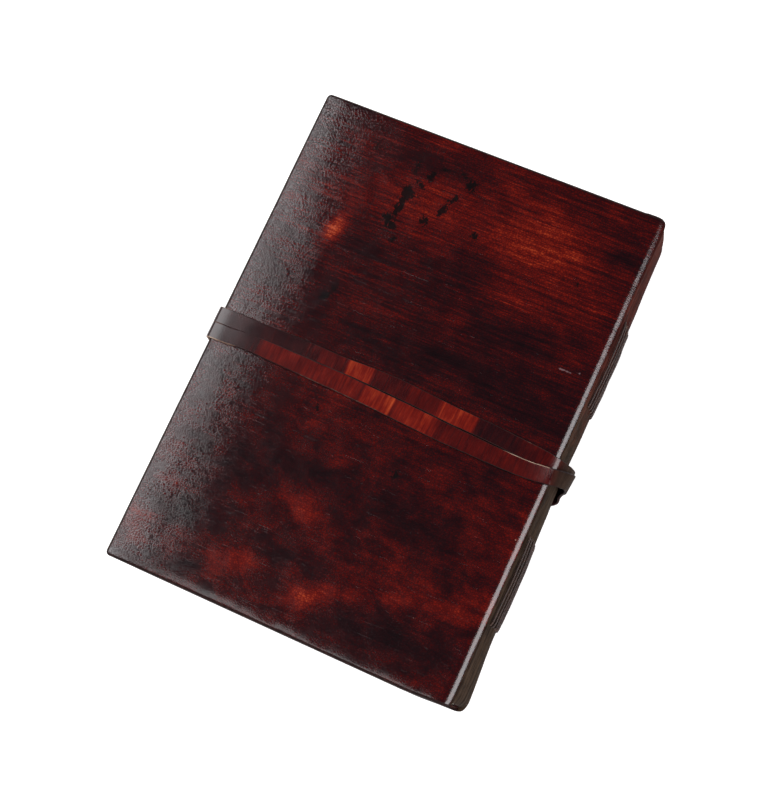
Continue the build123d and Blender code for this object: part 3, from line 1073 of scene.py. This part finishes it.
def raw_edge_material():
    """Cut leather: tan fibres where it is bare, dark where dye has soaked in."""
    n, flat = flat_nodes("strap_cut_edge")
    bare = n.attribute("bare")
    fibre = n.noise(n.stretch(flat, (0.9, 2.0, 5.0)), 1.0, 5, 0.7)
    soaked = n.noise(flat, 0.25, 3, 0.6)
    tone = n.total((fibre, 0.45), (soaked, 0.45), (bare, 0.55))
    tone = n.math("SUBTRACT", tone, 0.28)
    colour = n.ramp(
        tone,
        [(0.12, (0.010, 0.0035, 0.0035)), (0.36, (0.030, 0.010, 0.009)), (0.60, (0.20, 0.12, 0.085)),
         (0.80, (0.42, 0.31, 0.23))],
    )
    normal = n.bump(fibre, 0.06)
    rough = n.spread(fibre, 0.6, 0.85)
    return n.finish(Base_Color=colour, Roughness=rough, Normal=normal, Specular_IOR_Level=0.2)


def paper_material():
    n, flat = flat_nodes("cotton_page_paper")
    pulp = n.noise(flat, 0.5, 6, 0.65)
    fibres = n.noise(n.stretch(flat, (1.6, 5.5, 3.0)), 1.0, 4, 0.7, 1.6)
    flecks = n.remap(n.noise(flat, 1.7, 2, 0.4, 0.8), 0.72, 0.78)
    colour = n.ramp(
        n.total((pulp, 0.6), (fibres, 0.4)),
        [(0.3, (0.60, 0.53, 0.41)), (0.5, (0.71, 0.65, 0.53)), (0.75, (0.79, 0.75, 0.65))],
    )
    colour = n.tint(colour, (0.38, 0.28, 0.17), flecks, 0.5)
    normal = n.bump(n.total((pulp, 0.5), (fibres, 0.7)), 0.09)
    return n.finish(Base_Color=colour, Roughness=n.spread(fibres, 0.82, 0.95), Normal=normal)


def object_place(n):
    """Coordinates in mm for a CAD node, whose vertices are in place."""
    coordinates = n.add("ShaderNodeTexCoord").outputs["Object"]
    return n.stretch(coordinates, (1 / MM, 1 / MM, 1 / MM))


def board_material():
    n = Nodes("grey_board")
    place = object_place(n)
    pulp = n.noise(place, 0.9, 6, 0.7)
    layers = n.noise(n.stretch(place, (0.2, 0.2, 6.0)), 1.0, 3, 0.5)
    colour = n.ramp(
        n.total((pulp, 0.6), (layers, 0.4)), [(0.3, (0.16, 0.13, 0.10)), (0.7, (0.36, 0.31, 0.25))]
    )
    normal = n.bump(pulp, 0.12)
    return n.finish(Base_Color=colour, Roughness=n.spread(pulp, 0.8, 0.95), Normal=normal)


def lining_material():
    n = Nodes("lining_paper_laid")
    place = object_place(n)
    pulp = n.noise(place, 0.45, 6, 0.65)
    fibres = n.noise(n.stretch(place, (0.8, 3.4, 3.0)), 1.0, 4, 0.7, 1.8)
    threads = n.remap(n.noise(n.stretch(place, (0.35, 1.4, 1.0)), 1.0, 2, 0.5, 3.0), 0.70, 0.73)
    colour = n.ramp(
        n.total((pulp, 0.6), (fibres, 0.4)), [(0.3, (0.47, 0.38, 0.26)), (0.7, (0.66, 0.58, 0.45))]
    )
    colour = n.tint(colour, (0.30, 0.18, 0.10), threads, 0.35)
    normal = n.bump(n.total((pulp, 0.5), (fibres, 0.7)), 0.1)
    return n.finish(Base_Color=colour, Roughness=n.spread(fibres, 0.8, 0.93), Normal=normal)


def thread_material():
    n, flat = flat_nodes("waxed_thread")
    fibre = n.noise(n.stretch(flat, (1.2, 6.0, 1.0)), 1.0, 4, 0.7)
    wear = n.noise(flat, 0.35, 3, 0.5)
    colour = n.ramp(
        n.total((fibre, 0.4), (wear, 0.6)),
        [(0.35, (0.012, 0.005, 0.005)), (0.56, (0.045, 0.018, 0.013)), (0.74, (0.20, 0.11, 0.07))],
    )
    normal = n.bump(fibre, 0.04)
    return n.finish(Base_Color=colour, Roughness=n.spread(wear, 0.4, 0.6), Normal=normal)


def floor_material():
    n = Nodes("pale_floor")
    place = object_place(n)
    mottle = n.noise(place, 0.004, 3, 0.5)
    colour = n.ramp(mottle, [(0.3, (0.70, 0.70, 0.70)), (0.7, (0.73, 0.73, 0.73))])
    return n.finish(
        Base_Color=colour, Roughness=0.9, Specular_IOR_Level=0.1,
        Emission_Color=(1, 1, 1, 1), Emission_Strength=0.6,
    )


MATERIALS = {
    "cover": cover_material(),
    "spine": spine_material(),
    "rolled_edge_shade": rolled_edge_shade_material(),
    "strap_loop": strap_loop_material(),
    "strap": strap_material(),
    "raw_edge": raw_edge_material(),
    "paper": paper_material(),
    "board": board_material(),
    "lining": lining_material(),
    "thread": thread_material(),
}


def dress_cad_nodes():
    """Boards and linings keep their CAD shape and get their materials."""
    for cover in ("front_cover", "back_cover"):
        for part in ("board", "lining"):
            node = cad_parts[f"{cover}_{part}"]
            node.data.materials.clear()
            node.data.materials.append(MATERIALS[part])


# ---- floor, light and camera


FLOOR_SIZE = 3000.0         # half its side
FLOOR_PARTS = 24
FLOOR_DROP = 0.05           # below the book, so that the two never share a plane


def build_floor():
    lines = np.linspace(-FLOOR_SIZE, FLOOR_SIZE, FLOOR_PARTS + 1)
    x, y = np.meshgrid(lines, lines, indexing="ij")
    points = np.stack([x, y, np.full_like(x, -FLOOR_DROP)], -1).reshape(-1, 3) * MM
    index = np.arange(len(points)).reshape(x.shape).tolist()
    faces = [
        [index[a][b], index[a + 1][b], index[a + 1][b + 1], index[a][b + 1]]
        for a in range(FLOOR_PARTS)
        for b in range(FLOOR_PARTS)
    ]
    mesh = bpy.data.meshes.new("floor")
    mesh.from_pydata(points.tolist(), [], faces)
    mesh.materials.append(floor_material())
    floor = link("floor", mesh)


def direction(azimuth, elevation):
    """From the book outward. Azimuth 0 is over the tail, 90 over the spine."""
    a, e = math.radians(azimuth), math.radians(elevation)
    return Vector((math.sin(a) * math.cos(e), -math.cos(a) * math.cos(e), math.sin(e)))


def place_aimed(thing, position, back, roll=0.0):
    """Put a lamp or the camera somewhere, looking against the direction back."""
    thing.location = position
    thing.rotation_mode = "QUATERNION"
    turn = Quaternion((0, 0, 1), math.radians(roll))
    thing.rotation_quaternion = (-back).to_track_quat("-Z", "Y") @ turn


def softbox(name, azimuth, elevation, distance, size, power, tint=(1, 1, 1)):
    """A rectangular light aimed at the book, in metres and watts."""
    light = bpy.data.lights.new(name, "AREA")
    light.shape = "RECTANGLE"
    light.size, light.size_y = size
    light.energy = power
    light.color = tint
    back = direction(azimuth, elevation)
    place_aimed(link(name, light), back * distance, back)


def build_lights():
    softbox("key_softbox", -92, 43, 1.1, (1.0, 0.66), 13.0, (1.0, 0.985, 1.0))
    softbox("ridge_softbox", 84, 38, 1.0, (0.8, 0.55), 10.5, (1.0, 0.985, 1.0))
    softbox("tail_fill", -30, 67, 1.2, (0.7, 0.26), 1.7)
    world = bpy.data.worlds.new("studio")
    world.use_nodes = True
    background = world.node_tree.nodes["Background"]
    background.inputs["Color"].default_value = (1, 1, 1, 1)
    background.inputs["Strength"].default_value = 0.02
    bpy.context.scene.world = world
    bpy.context.scene.view_settings.view_transform = "Standard"


CAMERA_LENS = 82.3
CAMERA_ANGLES = (55.11, 73.33)      # azimuth and elevation
CAMERA_ROLL = -31.23
CAMERA_DISTANCE = 618.1
CAMERA_AIM = (X_CENTRE + 2.55, -6.01, Z_FRONT)


def build_camera():
    data = bpy.data.cameras.new("camera")
    data.lens = CAMERA_LENS
    data.sensor_width = 36.0
    data.clip_start, data.clip_end = 0.01, 20
    camera = link("camera", data)
    back = direction(*CAMERA_ANGLES)
    place_aimed(camera, Vector(CAMERA_AIM) * MM + back * CAMERA_DISTANCE * MM, back, CAMERA_ROLL)
    bpy.context.scene.camera = camera


# ---- put together

build_camera()
build_lights()
build_floor()
dress_cad_nodes()
build_skins()
for number in range(1, SIGNATURES + 1):
    for sheet in range(1, SHEETS + 1):
        folded_sheet(number, sheet)
    fold_thread(number)
    spine_thread(number, "head")
    spine_thread(number, "tail")
build_strap()
